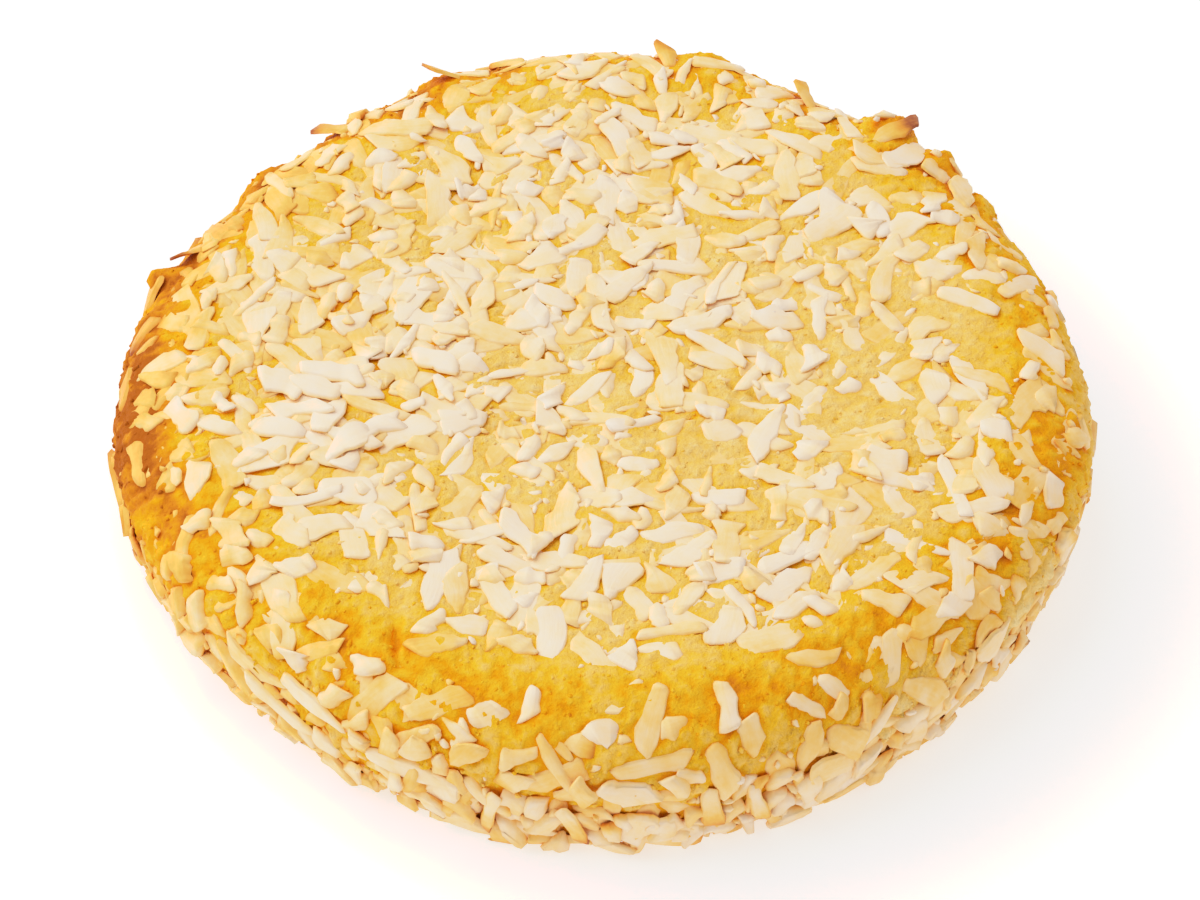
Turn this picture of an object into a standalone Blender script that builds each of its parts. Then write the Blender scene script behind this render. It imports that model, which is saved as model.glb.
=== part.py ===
"""A thick round coconut cookie, standing on its flat base.

Metres, +Z up. The origin is on the base, under the middle of the cookie.
The cookie is one solid, out to the outer surface of the coconut that coats it:
a turned section is drawn out to a slightly four-cornered round, as a hand-shaped
ball of dough bakes, and then swells and dips as its coat does.
"""

import math

import bmesh
import bpy
import numpy as np

MM = 0.001

# Driving dimensions
MEAN_RADIUS = 37.35 * MM  # from the axis to the side, over the coat
HEIGHT = 14.4 * MM  # from the base to the top of the coat
SHOULDER_WIDTH = 7.0 * MM  # how far in from the side the top starts to turn down
SHOULDER_DROP = 5.2 * MM  # how far down from the top the side turns upright
BASE_INSET = 1.2 * MM  # how far the side leans in on its way down to the base's curve
BASE_ROUND = 3.0 * MM  # radius of the curve between side and base

# The outline's departures from a circle: how many bulges, how high, and where one points
BULGES = (
    (3, 0.40 * MM, math.radians(-40)),
    (4, 0.70 * MM, 0.0),
)

# Swells and dips of the coat: waves that run across the cookie in different directions
SWELL_HEIGHT = 0.26 * MM
SWELL_LENGTH = 8.0 * MM
SWELL_WAVES = 7
GOLDEN_ANGLE = math.radians(137.5)
SWELL_FREE_ABOVE = 5.0 * MM  # the swells fade out between this height and the flat base

# Mesh fineness
SIDES = 96
TOP_RINGS = 12
SHOULDER_STEPS = 5
SIDE_STEPS = 2
BASE_STEPS = 4

BAKED_COLOUR = (0.86, 0.62, 0.24, 1.0)
BAKED_ROUGHNESS = 0.75


def clear_scene():
    for obj in list(bpy.data.objects):
        bpy.data.objects.remove(obj)


def baked_material():
    """The golden crust under its coconut."""
    material = bpy.data.materials.new("coconut_crust")
    material.use_nodes = True
    shader = material.node_tree.nodes["Principled BSDF"]
    shader.inputs["Base Color"].default_value = BAKED_COLOUR
    shader.inputs["Roughness"].default_value = BAKED_ROUGHNESS
    shader.inputs["Metallic"].default_value = 0.0
    return material


def section():
    """Half of the cookie's section as (radius, height), from the top's middle, over the
    shoulder and down the side to the base's middle."""
    shoulder_start = MEAN_RADIUS - SHOULDER_WIDTH
    points = [(shoulder_start * ring / TOP_RINGS, HEIGHT) for ring in range(TOP_RINGS)]
    for step in range(SHOULDER_STEPS + 1):
        turn = math.pi / 2 * step / SHOULDER_STEPS
        radius = shoulder_start + SHOULDER_WIDTH * math.sin(turn)
        points.append((radius, HEIGHT - SHOULDER_DROP * (1 - math.cos(turn))))
    side_top, side_foot = HEIGHT - SHOULDER_DROP, BASE_ROUND
    for step in range(1, SIDE_STEPS):
        share = step / SIDE_STEPS
        height = side_top + (side_foot - side_top) * share
        points.append((MEAN_RADIUS - BASE_INSET * share**2, height))
    for step in range(BASE_STEPS + 1):
        turn = math.pi / 2 * step / BASE_STEPS
        radius = MEAN_RADIUS - BASE_INSET - BASE_ROUND * (1 - math.cos(turn))
        points.append((radius, BASE_ROUND * (1 - math.sin(turn))))
    points.append((0.0, 0.0))
    return points


def outline_share(turn):
    """The outline's radius at each angle round the axis, as a share of the mean radius."""
    radius = MEAN_RADIUS + sum(
        height * np.cos(count * (turn - towards)) for count, height, towards in BULGES
    )
    return radius / MEAN_RADIUS


def swell(places):
    """The coat's rise or dip at each point: waves added together, each a golden angle on
    from the last in direction and a little longer."""
    x, y, z = places.T
    total = np.zeros(len(places))
    for wave in range(SWELL_WAVES):
        heading = wave * GOLDEN_ANGLE
        length = SWELL_LENGTH * (1 + wave / SWELL_WAVES)
        across = x * math.cos(heading) + y * math.sin(heading) + 0.5 * z
        total += np.cos(math.tau * across / length + wave * wave)
    return SWELL_HEIGHT * total / math.sqrt(SWELL_WAVES)


def turned_cookie():
    """The section turned about the axis, as a closed mesh object."""
    points = section()
    profile = bpy.data.meshes.new("cookie_section")
    edges = [(i, i + 1) for i in range(len(points) - 1)]
    profile.from_pydata([(radius, 0.0, height) for radius, height in points], edges, [])
    cookie = bpy.data.objects.new("cookie", profile)
    screw = cookie.modifiers.new("turn", "SCREW")
    screw.axis = "Z"
    screw.steps = screw.render_steps = SIDES
    screw.use_merge_vertices = True
    screw.merge_threshold = 0.00001
    return cookie


def made_plain(cookie):
    """The object with its Screw applied and the base's fan of triangles made one face."""
    graph = bpy.context.evaluated_depsgraph_get()
    mesh = bpy.data.meshes.new_from_object(cookie.evaluated_get(graph))
    cookie.modifiers.clear()
    cookie.data = mesh
    work = bmesh.new()
    work.from_mesh(mesh)
    middle = min(work.verts, key=lambda vert: vert.co.length)
    bmesh.ops.dissolve_verts(work, verts=[middle])
    work.to_mesh(mesh)
    work.free()


def shaped_by_hand(mesh):
    """Draws the round out to its outline, lets the coat swell, and centres the cookie."""
    places = np.empty(len(mesh.vertices) * 3)
    normals = np.empty(len(mesh.vertices) * 3)
    mesh.vertices.foreach_get("co", places)
    mesh.vertices.foreach_get("normal", normals)
    places, normals = places.reshape(-1, 3), normals.reshape(-1, 3)
    freedom = np.clip(places[:, 2] / SWELL_FREE_ABOVE, 0, 1) ** 2
    rise = swell(places) * freedom
    turn = np.arctan2(places[:, 1], places[:, 0])
    places[:, :2] *= outline_share(turn)[:, None]
    places += normals * rise[:, None]
    middle = (places.min(0) + places.max(0)) / 2
    places[:, :2] -= middle[:2]
    mesh.vertices.foreach_set("co", places.ravel())
    mesh.update()


def main():
    clear_scene()
    collection = bpy.data.collections.new("coconut_cookie")
    bpy.context.scene.collection.children.link(collection)
    cookie = turned_cookie()
    collection.objects.link(cookie)
    made_plain(cookie)
    shaped_by_hand(cookie.data)
    cookie.data.shade_smooth()
    cookie.data.materials.append(baked_material())


main()
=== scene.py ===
"""Looks of a coconut cookie: sandy golden dough under a coat of coarse coconut flakes.

Shapes are worked out in millimetres, and turned to metres when a mesh is made. A place on
the crust is given by its arc, the way along the section from the middle of the top, and its
turn, the angle round the axis: 0 at the right, and -90 degrees at the near side. The chart is
the crust peeled flat: a plane where a place is drawn at (arc cos turn, arc sin turn).
"""

import itertools
import math

import bpy
import numpy as np
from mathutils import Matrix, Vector


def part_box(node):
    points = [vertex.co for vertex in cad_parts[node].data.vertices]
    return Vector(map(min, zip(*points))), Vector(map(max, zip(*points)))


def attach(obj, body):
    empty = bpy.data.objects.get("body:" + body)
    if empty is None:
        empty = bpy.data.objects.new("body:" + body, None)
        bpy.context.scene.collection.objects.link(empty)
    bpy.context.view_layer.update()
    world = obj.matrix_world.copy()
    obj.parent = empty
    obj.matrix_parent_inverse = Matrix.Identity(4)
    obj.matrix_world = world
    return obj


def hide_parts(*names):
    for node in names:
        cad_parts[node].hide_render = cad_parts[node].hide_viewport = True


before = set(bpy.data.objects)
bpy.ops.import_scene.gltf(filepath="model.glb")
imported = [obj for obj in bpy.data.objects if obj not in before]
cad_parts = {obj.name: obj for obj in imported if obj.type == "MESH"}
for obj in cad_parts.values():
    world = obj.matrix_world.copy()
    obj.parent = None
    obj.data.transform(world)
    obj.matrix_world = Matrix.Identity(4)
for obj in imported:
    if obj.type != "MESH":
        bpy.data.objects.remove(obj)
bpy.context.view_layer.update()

MM = 0.001
TAU = math.tau
draw = np.random.default_rng(48)

# ---- sizes, in millimetres

LOW, HIGH = (np.array(corner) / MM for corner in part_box("cookie"))
COAT = 1.0  # depth of the coconut coat, from the solid's outside in to the dough
RADIUS = (HIGH - LOW)[:2].mean() / 2 - COAT
THICKNESS = HIGH[2] - LOW[2] - COAT
SHOULDER_WIDTH = 7.0  # how far in from the side the top starts to turn down
SHOULDER_DROP = 5.2  # how far down the side turns upright
SIDE_TOP = THICKNESS - SHOULDER_DROP
BASE_INSET = 1.2  # how far the side leans in on its way down
BASE_ROUND = 2.4  # radius of the curve between side and base
BASE_RADIUS = RADIUS - BASE_INSET - BASE_ROUND
# The outline's bulges: how many, how high, and the angle that one points to
BULGES = ((3, 0.4, -40), (4, 0.7, 0))
RELIEF_FREE = 4.0  # height over the flat base at which the dough's relief is let out in full

CRUST_CELLS = 308  # squares along one side of the crust's grid
HEIGHT_CELL = 0.3  # cell of the map on which flakes are dropped


# ---- noise and meshes

NOISE_SIDE = 48  # corners along a side of the lattice, after which the noise repeats
NOISE_GAIN = 1.7  # brings the blended heights to about -1 to 1
NOISE_SLOPES = draw.standard_normal((NOISE_SIDE,) * 3 + (3,))
NOISE_SLOPES /= np.linalg.norm(NOISE_SLOPES, axis=-1, keepdims=True)


def noise(places, size):
    """Gradient noise, about -1 to 1: each corner of a cubic lattice has a random slope, and a
    place takes the slopes' heights, blended by the smooth step 6t^5 - 15t^4 + 10t^3."""
    cell = np.floor(places / size).astype(int)
    part = places / size - cell
    blend = part**3 * (part * (part * 6 - 15) + 10)
    total = np.zeros(len(places))
    for corner in itertools.product((0, 1), repeat=3):
        slope = NOISE_SLOPES[tuple(((cell + corner) % NOISE_SIDE).T)]
        share = np.prod(np.where(corner, blend, 1 - blend), axis=1)
        total += share * np.einsum("ij,ij->i", slope, part - corner)
    return total * NOISE_GAIN


def smooth_step(value, low, high):
    """0 below low, 1 above high, and 3t^2 - 2t^3 between them."""
    share = np.clip((value - low) / (high - low), 0, 1)
    return share * share * (3 - 2 * share)


def make_piece(name, places, faces, attributes=None, uv=None):
    """A mesh object from vertices in millimetres and arrays of faces, one for each size of
    face. Attributes have one number a vertex, and uv one pair."""
    mesh = bpy.data.meshes.new(name)
    corners = np.concatenate([group.ravel() for group in faces]).astype(np.int32)
    sizes = np.concatenate([np.full(len(group), group.shape[1]) for group in faces])
    starts = np.concatenate([[0], np.cumsum(sizes)[:-1]]).astype(np.int32)
    mesh.vertices.add(len(places))
    mesh.vertices.foreach_set("co", (places * MM).astype(np.float32).ravel())
    mesh.loops.add(len(corners))
    mesh.loops.foreach_set("vertex_index", corners)
    mesh.polygons.add(len(sizes))
    mesh.polygons.foreach_set("loop_start", starts)
    mesh.update(calc_edges=True)
    mesh.validate()
    mesh.shade_smooth()
    for label, values in (attributes or {}).items():
        layer = mesh.attributes.new(label, "FLOAT", "POINT")
        layer.data.foreach_set("value", values.astype(np.float32))
    if uv is not None:
        layer = mesh.uv_layers.new(name="Fibres")
        layer.data.foreach_set("uv", uv[corners].astype(np.float32).ravel())
    piece = bpy.data.objects.new(name, mesh)
    bpy.context.scene.collection.objects.link(piece)
    return piece


def copied_faces(faces, count, points):
    """The faces of one small mesh, repeated for that many copies of its points in a row."""
    shift = (np.arange(count) * points)[:, None, None]
    return (faces + shift).reshape(-1, faces.shape[1])


# ---- the crust's smooth form


def section_line(steps):
    """Half of the section as a line of (radius, height): a flat top, a quarter-ellipse
    shoulder, a side that leans in as the square of the way down, and a quarter-round foot."""
    flat = RADIUS - SHOULDER_WIDTH
    turn = np.linspace(0, math.pi / 2, steps)
    share = np.linspace(0, 1, steps)
    parts = (
        (share * flat, np.full(steps, THICKNESS)),
        (flat + SHOULDER_WIDTH * np.sin(turn), SIDE_TOP + SHOULDER_DROP * np.cos(turn)),
        (RADIUS - BASE_INSET * share**2, SIDE_TOP + (BASE_ROUND - SIDE_TOP) * share),
        (RADIUS - BASE_INSET - BASE_ROUND * (1 - np.cos(turn)), BASE_ROUND * (1 - np.sin(turn))),
    )
    line = np.concatenate([np.column_stack(part)[:-1] for part in parts])
    return np.vstack([line, [BASE_RADIUS, 0]])


SECTION = section_line(steps=160)
SECTION_GAPS = np.linalg.norm(np.diff(SECTION, axis=0), axis=1)
SECTION_ARC = np.concatenate([[0], np.cumsum(SECTION_GAPS)])
SECTION_ALONG = np.gradient(SECTION, SECTION_ARC, axis=0)
ARC_END = SECTION_ARC[-1]


def outline_share(turn):
    """The outline's radius at each angle, as a share of the mean: one plus a cosine a bulge."""
    return 1 + sum(
        high / RADIUS * np.cos(count * (turn - math.radians(towards)))
        for count, high, towards in BULGES
    )


def section_way(arc):
    """The section's direction at each arc, outwards and up, and the length of the two."""
    out, up = (np.interp(arc, SECTION_ARC, SECTION_ALONG[:, axis]) for axis in (0, 1))
    return out, up, np.hypot(out, up)


def on_crust(arc, turn, rise):
    """Points at a rise above the smooth crust: the section's point and its normal, swung
    round the axis, with the radius drawn out to the outline."""
    radius, height = (np.interp(arc, SECTION_ARC, SECTION[:, axis]) for axis in (0, 1))
    out, up, size = section_way(arc)
    radius = radius * outline_share(turn) - rise * up / size
    height = height + rise * out / size
    return np.stack([radius * np.cos(turn), radius * np.sin(turn), height], axis=-1)


def crust_frame(arc, turn):
    """At each place the two directions along the crust, outwards and round, and the normal."""
    out, up, size = section_way(arc)
    out, up = out / size, up / size
    cos, sin = np.cos(turn), np.sin(turn)
    outwards = np.stack([out * cos, out * sin, up], axis=-1)
    round_axis = np.stack([-sin, cos, np.zeros_like(sin)], axis=-1)
    normal = np.stack([-up * cos, -up * sin, out], axis=-1)
    return outwards, round_axis, normal


STRIDE = 4  # only every fourth point of the section is tried


def nearest_on_crust(places):
    """Arc, turn and rise of the crust's nearest point to each place: the nearest of the
    section's points, moved along the section to the foot of the perpendicular."""
    turn = np.arctan2(places[:, 1], places[:, 0])
    flat = np.hypot(places[:, 0], places[:, 1]) / outline_share(turn)
    spots = np.column_stack([flat, places[:, 2]])
    away = spots[:, None] - SECTION[None, ::STRIDE]
    nearest = np.argmin(np.einsum("ijk,ijk->ij", away, away), axis=1) * STRIDE
    along = SECTION_ALONG[nearest]
    along = along / np.linalg.norm(along, axis=1, keepdims=True)
    left = spots - SECTION[nearest]
    arc = SECTION_ARC[nearest] + np.einsum("ij,ij->i", left, along)
    rise = along[:, 0] * left[:, 1] - along[:, 1] * left[:, 0]
    return np.clip(arc, 0, ARC_END), turn, rise


# ---- the chart


def chart(arc, turn):
    """The place on the chart of each arc and turn."""
    return np.stack([arc * np.cos(turn), arc * np.sin(turn)], axis=-1)


def bells(spots, table):
    """The sum of a table of bells on the chart, each with its turn in degrees, arc, width and
    height: the height times exp(-t^2), where t is the way from there over the width."""
    total = np.zeros(len(spots))
    for turn, arc, width, height in table:
        away = np.linalg.norm(spots - chart(arc, math.radians(turn)), axis=1) / width
        total += height * np.exp(-(away**2))
    return total


def near(turn, middle, width):
    """A bell round the axis, 1 high, with its middle and width in degrees."""
    away = (np.degrees(turn) - middle + 180) % 360 - 180
    return np.exp(-((away / width) ** 2))


MAP_HALF = int(ARC_END / HEIGHT_CELL) + 4
MAP_SIDE = 2 * MAP_HALF + 1


def map_cell(spots):
    """Index of the height map's cell at chart places."""
    cell = np.clip(np.rint(spots / HEIGHT_CELL).astype(int) + MAP_HALF, 0, MAP_SIDE - 1)
    return cell[..., 0] * MAP_SIDE + cell[..., 1]


# ---- the dough

# Cracks in the crust: turn in degrees, arc, heading on the chart in degrees, length, width
# and depth
CRACKS = (
    (-119, 32, -80, 5.0, 0.35, 0.75),
    (-97, 37, -85, 4.0, 0.30, 0.50),
    (-38, 9, 20, 2.5, 0.30, 0.70),
    (-15, 11, -35, 6.0, 0.20, 0.45),
    (-9, 21, 80, 3.0, 0.16, 0.40),
    (-62, 24, 60, 4.0, 0.14, 0.35),
    (-20, 29, 110, 5.0, 0.14, 0.30),
    (64, 27, 10, 4.0, 0.14, 0.30),
    (176, 38, 95, 5.0, 0.30, 0.60),
    (120, 38, 70, 6.0, 0.25, 0.50),
    (20, 39, 100, 5.0, 0.25, 0.50),
    (-70, 42, 10, 5.0, 0.20, 0.40),
)
# Lumps where the dough or a knot of crumbs stands out: turn in degrees, arc, width and rise
LUMPS = (
    (50, 37.5, 2.4, 2.4),
    (42, 38.0, 2.0, 2.2),
    (34, 38.0, 1.8, 1.2),
    (162, 37.5, 1.15, 1.6),
    (141, 37.0, 2.4, 1.0),
    (112, 36.5, 2.6, 0.8),
    (76, 36.5, 2.6, 0.9),
)
# Small round pits, strewn over the crust at random
PITS = 150
PIT_ARC = ARC_END * np.sqrt(draw.uniform(0, 0.95, PITS))
PIT_CENTRES = chart(PIT_ARC, draw.uniform(0, TAU, PITS))
PIT_WIDTHS = draw.uniform(0.18, 0.55, PITS)
PIT_DEPTHS = PIT_WIDTHS * draw.uniform(0.3, 0.8, PITS)


def cracks(spots):
    """Depth of the cracks at chart places: across a line that wanders by noise the depth
    falls off as a bell, and along it as one minus the square of the way from its middle."""
    wander = noise(np.column_stack([spots, np.zeros(len(spots))]), 1.6) * 0.5
    total = np.zeros(len(spots))
    for turn, arc, heading, length, width, depth in CRACKS:
        away = spots - chart(arc, math.radians(turn))
        cos, sin = math.cos(math.radians(heading)), math.sin(math.radians(heading))
        along = (away[:, 0] * cos + away[:, 1] * sin) / (length / 2)
        across = away[:, 1] * cos - away[:, 0] * sin + wander
        here = depth * np.clip(1 - along**2, 0, 1) * np.exp(-((across / width) ** 2))
        total = np.maximum(total, here)
    return total


def pits(spots):
    """Depth of small round pits, each a bell of its own width and depth."""
    total = np.zeros(len(spots))
    for centre, width, depth in zip(PIT_CENTRES, PIT_WIDTHS, PIT_DEPTHS):
        close = np.flatnonzero(np.abs(spots - centre).max(axis=1) < 3 * width)
        gap = np.linalg.norm(spots[close] - centre, axis=1) / width
        total[close] = np.maximum(total[close], depth * np.exp(-(gap**2)))
    return total


def grain(places):
    """Sandy crumb, half as high on the top as on the side: sharp crests round small hollows,
    from one minus twice the size of noise at two scales, and fine noise."""
    large = 1 - 2 * np.abs(noise(places + 9, 1.7))
    small = 1 - 2 * np.abs(noise(places - 7, 1.0))
    coarse = 1 - 0.5 * smooth_step(places[:, 2], SIDE_TOP, THICKNESS)
    return (large * 0.19 + small * 0.24 + noise(places, 0.7) * 0.20) * coarse


def crumb(smooth, spots):
    """The dough's roughness at places of the smooth crust: its grain, less cracks and pits."""
    return grain(smooth) - cracks(spots) - pits(spots)


def swells(smooth, spots):
    """The dough's slow rise and fall: noise of three sizes, and the lumps."""
    waves = noise(smooth, 13.0) * 0.32 + noise(smooth + 50, 5.5) * 0.22 + noise(smooth, 2.6) * 0.18
    return waves + bells(spots, LUMPS)


def let_out(smooth):
    """The share of the relief that shows: none at the flat base, and all of it further up."""
    return smooth_step(smooth[:, 2], 0.0, RELIEF_FREE)


# Spots that browned more: turn in degrees, arc, width and strength
BROWN_SPOTS = (
    (118, 34, 2.2, 0.55),
    (143, 34, 2.0, 0.35),
    (104, 37, 3.0, 0.35),
    (-12, 38, 3.5, 0.25),
    (60, 37, 3.0, 0.25),
)


def browning(arc, turn, places):
    """How far the crust has baked, from 0 pale butter to 1 deep brown: golden round the
    shoulder, brown at the left rim and in a few spots, mottled by noise."""
    shoulder = np.exp(-(((arc - 33.5) / 3.8) ** 2))
    bake_and_shade = 0.20 + 0.06 * noise(places, 9.0) + 0.05 * noise(places, 2.8)
    bake_and_shade += smooth_step(arc, 8, 28) * (0.03 + 0.06 * near(turn, 180, 60))
    bake_and_shade += shoulder * (0.22 + 0.06 * near(turn, -120, 45) + 0.14 * near(turn, -40, 35))
    bake_and_shade += shoulder * (0.18 * noise(places, 1.3) + 0.14 * noise(places, 0.8))
    bake_and_shade += smooth_step(arc, 37, 42) * (0.08 - 0.24 * near(turn, -35, 40))
    left_rim = smooth_step(arc, 32, 36) * (0.66 * near(turn, 186, 22) + 0.30 * near(turn, 140, 30))
    left_rim *= 1 + 0.30 * noise(places, 2.0) + 0.20 * noise(places, 0.9)
    far_rim = smooth_step(arc, 33, 38) * (0.20 * near(turn, 90, 40) + 0.14 * near(turn, 40, 30))
    return bake_and_shade + left_rim + far_rim + bells(chart(arc, turn), BROWN_SPOTS)


def gap_shade_mask(depth):
    """How much coconut lies over and beside each cell: its depth, averaged over neighbours three
    times. It is the mask for the shade painted into the dough's colour in and beside the gaps between
    flakes."""
    field = smooth_step(depth.reshape(MAP_SIDE, MAP_SIDE), 0.0, 0.5)
    for _ in range(3):
        field = (field + sum(np.roll(field, way, axis) for way in (-1, 1) for axis in (0, 1))) / 5
    return field.ravel()


def crust_grid(cells):
    """A square grid laid on the chart: a place's arc is the larger of its two coordinates,
    and its turn goes evenly along each side of the square that it lies on. Returns arcs,
    turns, quads and the indices along the edge."""
    across, back = np.meshgrid(*[np.linspace(-1, 1, cells + 1)] * 2, indexing="ij")
    ring = np.maximum(np.abs(across), np.abs(back))
    wide = np.abs(across) >= np.abs(back)
    safe_across = np.where(np.abs(across) > 1e-9, across, 1)
    safe_back = np.where(np.abs(back) > 1e-9, back, 1)
    side_turn = math.pi / 4 * back / safe_across + np.where(across < 0, math.pi, 0)
    front_turn = math.pi / 2 - math.pi / 4 * across / safe_back
    front_turn = front_turn + np.where(back < 0, math.pi, 0)
    turn = np.where(wide, side_turn, front_turn)
    index = np.arange((cells + 1) ** 2).reshape(cells + 1, cells + 1)
    quads = np.stack([index[:-1, :-1], index[1:, :-1], index[1:, 1:], index[:-1, 1:]], axis=-1)
    edge = np.concatenate([index[:-1, 0], index[-1, :-1], index[:0:-1, -1], index[0, :0:-1]])
    turn = (turn.ravel() + math.pi) % TAU - math.pi
    return ring.ravel() * ARC_END, turn, quads.reshape(-1, 4), edge


BASE_SHARES = np.array([0.985, 0.95, 0.88, 0.78, 0.66, 0.52, 0.36, 0.18])  # the base's rings
BASE_RISE = 0.08  # how far the base's dough lies above the ground
BASE_BAKED = 0.74  # how far it has baked
BASE_NEAR = 48.5  # arc from which the side browns towards the base


def base_rings(rim, edge, first):
    """The flat base inside the crust's rim, whose indices are given as edge: the points of its
    rings, counted on from first, their quads and a fan round the middle, which comes last."""
    rings = (rim[None] * BASE_SHARES[:, None, None]).reshape(-1, 3)
    rings[:, 2] = 0
    rings[:, 2] = BASE_RISE + 0.02 * noise(rings, 9.0)
    rows = np.vstack([edge, first + np.arange(len(rings)).reshape(len(BASE_SHARES), -1)])
    after = np.roll(rows, -1, axis=1)
    quads = np.stack([rows[:-1], rows[1:], after[1:], after[:-1]], axis=-1).reshape(-1, 4)
    fan = np.column_stack([rows[-1], np.full(len(edge), first + len(rings)), after[-1]])
    return rings, quads, fan


FLATTENING = 0.92  # how much of the crumb's roughness is pressed flat under coconut
FLAT_UNDER = 0.12  # depth of coconut from which it is
GAP_SHADE_DEPTH = 0.32  # painted shade: how much deeper the colour is in the gaps between flakes and under them
DIP_SHADE_DEPTH = 0.38  # painted shade: how much deeper the colour gets for each millimetre that the crumb dips, and how much paler where it rises
DIP_SHADE_RANGE = -0.4, 0.25  # lowest and highest part of the crumb that counts in that painted shade


def make_dough(depth):
    """The dough as one closed skin: the crust's grid, and the base. Under the coconut, whose depth is
    given for each cell of the map, the crumb is pressed flat. Shade is painted into the colour in and
    beside the gaps between flakes, and into the crumb's dips, with its crests painted paler."""
    arc, turn, crust_quads, edge = crust_grid(CRUST_CELLS)
    smooth = on_crust(arc, turn, 0)
    spots = chart(arc, turn)
    cells = map_cell(spots)
    pressed = smooth_step(depth[cells], 0.0, FLAT_UNDER)
    rough = crumb(smooth, spots) * (1 - FLATTENING * pressed)
    places = on_crust(arc, turn, (swells(smooth, spots) + rough) * let_out(smooth))
    rings, base_quads, fan = base_rings(places[edge], edge, len(places))
    # Painted shade: the colour is deepened in and beside the gaps between flakes, where shade falls.
    bake_and_shade = browning(arc, turn, smooth) + GAP_SHADE_DEPTH * gap_shade_mask(depth)[cells]
    # Painted shade and light: deeper colour in the crumb's dips, paler on its crests.
    bake_and_shade -= DIP_SHADE_DEPTH * np.clip(rough, *DIP_SHADE_RANGE)
    bake_and_shade += smooth_step(arc, BASE_NEAR, ARC_END) * (BASE_BAKED - bake_and_shade)
    ring_baked = BASE_BAKED + 0.10 * noise(rings, 9.0) + 0.06 * noise(rings, 4.0)
    return make_piece(
        "cookie_dough",
        np.vstack([places, rings, [[0, 0, BASE_RISE]]]),
        [crust_quads, base_quads, fan],
        {"bake_and_shade": np.concatenate([bake_and_shade, ring_baked, [BASE_BAKED]])},
    )


# ---- coconut

# Where a flake's rings lie, as shares of its length: on a whole flake, and on a crumb
FULL_STATIONS = np.array([0.0, 0.05, 0.14, 0.25, 0.37, 0.5, 0.63, 0.75, 0.86, 0.95, 1.0])
CRUMB_STATIONS = np.array([0.0, 0.3, 0.7, 1.0])
# Each ring has five points: the right rim, the two edges of the upper face, the left rim and
# the middle of the underside
AROUND = 5
RIMS = [0, 3]
RIM_DROP = 0.38  # how far the rim lies under the middle of the thickness, as a share of it
BEVEL = 0.03, 0.45  # width of the sloping sides: a least width, and a share of the thickness
MOST_BEVEL = 0.45  # the most that it takes of the half-width
END_THICKNESS = 0.4  # thickness at the very ends, as a share
LEAST_BEND = 0.02  # in radians, so that a straight flake's middle line has a circle too

# Kinds of coconut: the least and the most length, and the least and the most width
KINDS = {
    "coconut_flakes": ((2.6, 6.4), (1.3, 2.6)),
    "coconut_slivers": ((2.4, 6.6), (0.8, 1.4)),
    "coconut_chips": ((1.5, 3.4), (1.1, 2.3)),
    "coconut_crumbs": ((0.4, 1.3), (0.3, 0.9)),
}
# Layers of coconut, from the first pressed in to the last strewn on: the arcs between which it
# lies, how thick it is, how far it is pressed in, the share that stands up, how much it has
# yellowed, how freely it turns from pointing outwards, in radians, and how many of each kind
LAYERS = (
    dict(arcs=(0, 36), thick=(0.14, 0.26), sink=(0.10, 0.22), stands=0, warm=0.10, steer=9,
         counts=(190, 50, 170, 170)),
    dict(arcs=(34, 49), thick=(0.30, 0.50), sink=(0.12, 0.24), stands=0, warm=0.08, steer=2,
         counts=(80, 30, 190, 110)),
    dict(arcs=(0, 36), thick=(0.14, 0.28), sink=(0.07, 0.18), stands=0.04, warm=0.0, steer=9,
         counts=(260, 60, 220, 210)),
    dict(arcs=(34, 49), thick=(0.34, 0.66), sink=(0.10, 0.24), stands=0.10, warm=0.0, steer=2,
         counts=(90, 30, 250, 180)),
)
FOOT = dict(arcs=(42, 48.5), thick=(0.5, 0.9), sink=(0.12, 0.28), stands=0.1, warm=0.0, steer=9,
            counts=(16, 4, 90, 60))
LOOSE = dict(thick=(0.26, 0.40), sink=(0.06, 0.16), stands=0, warm=0.0, steer=0)


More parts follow.
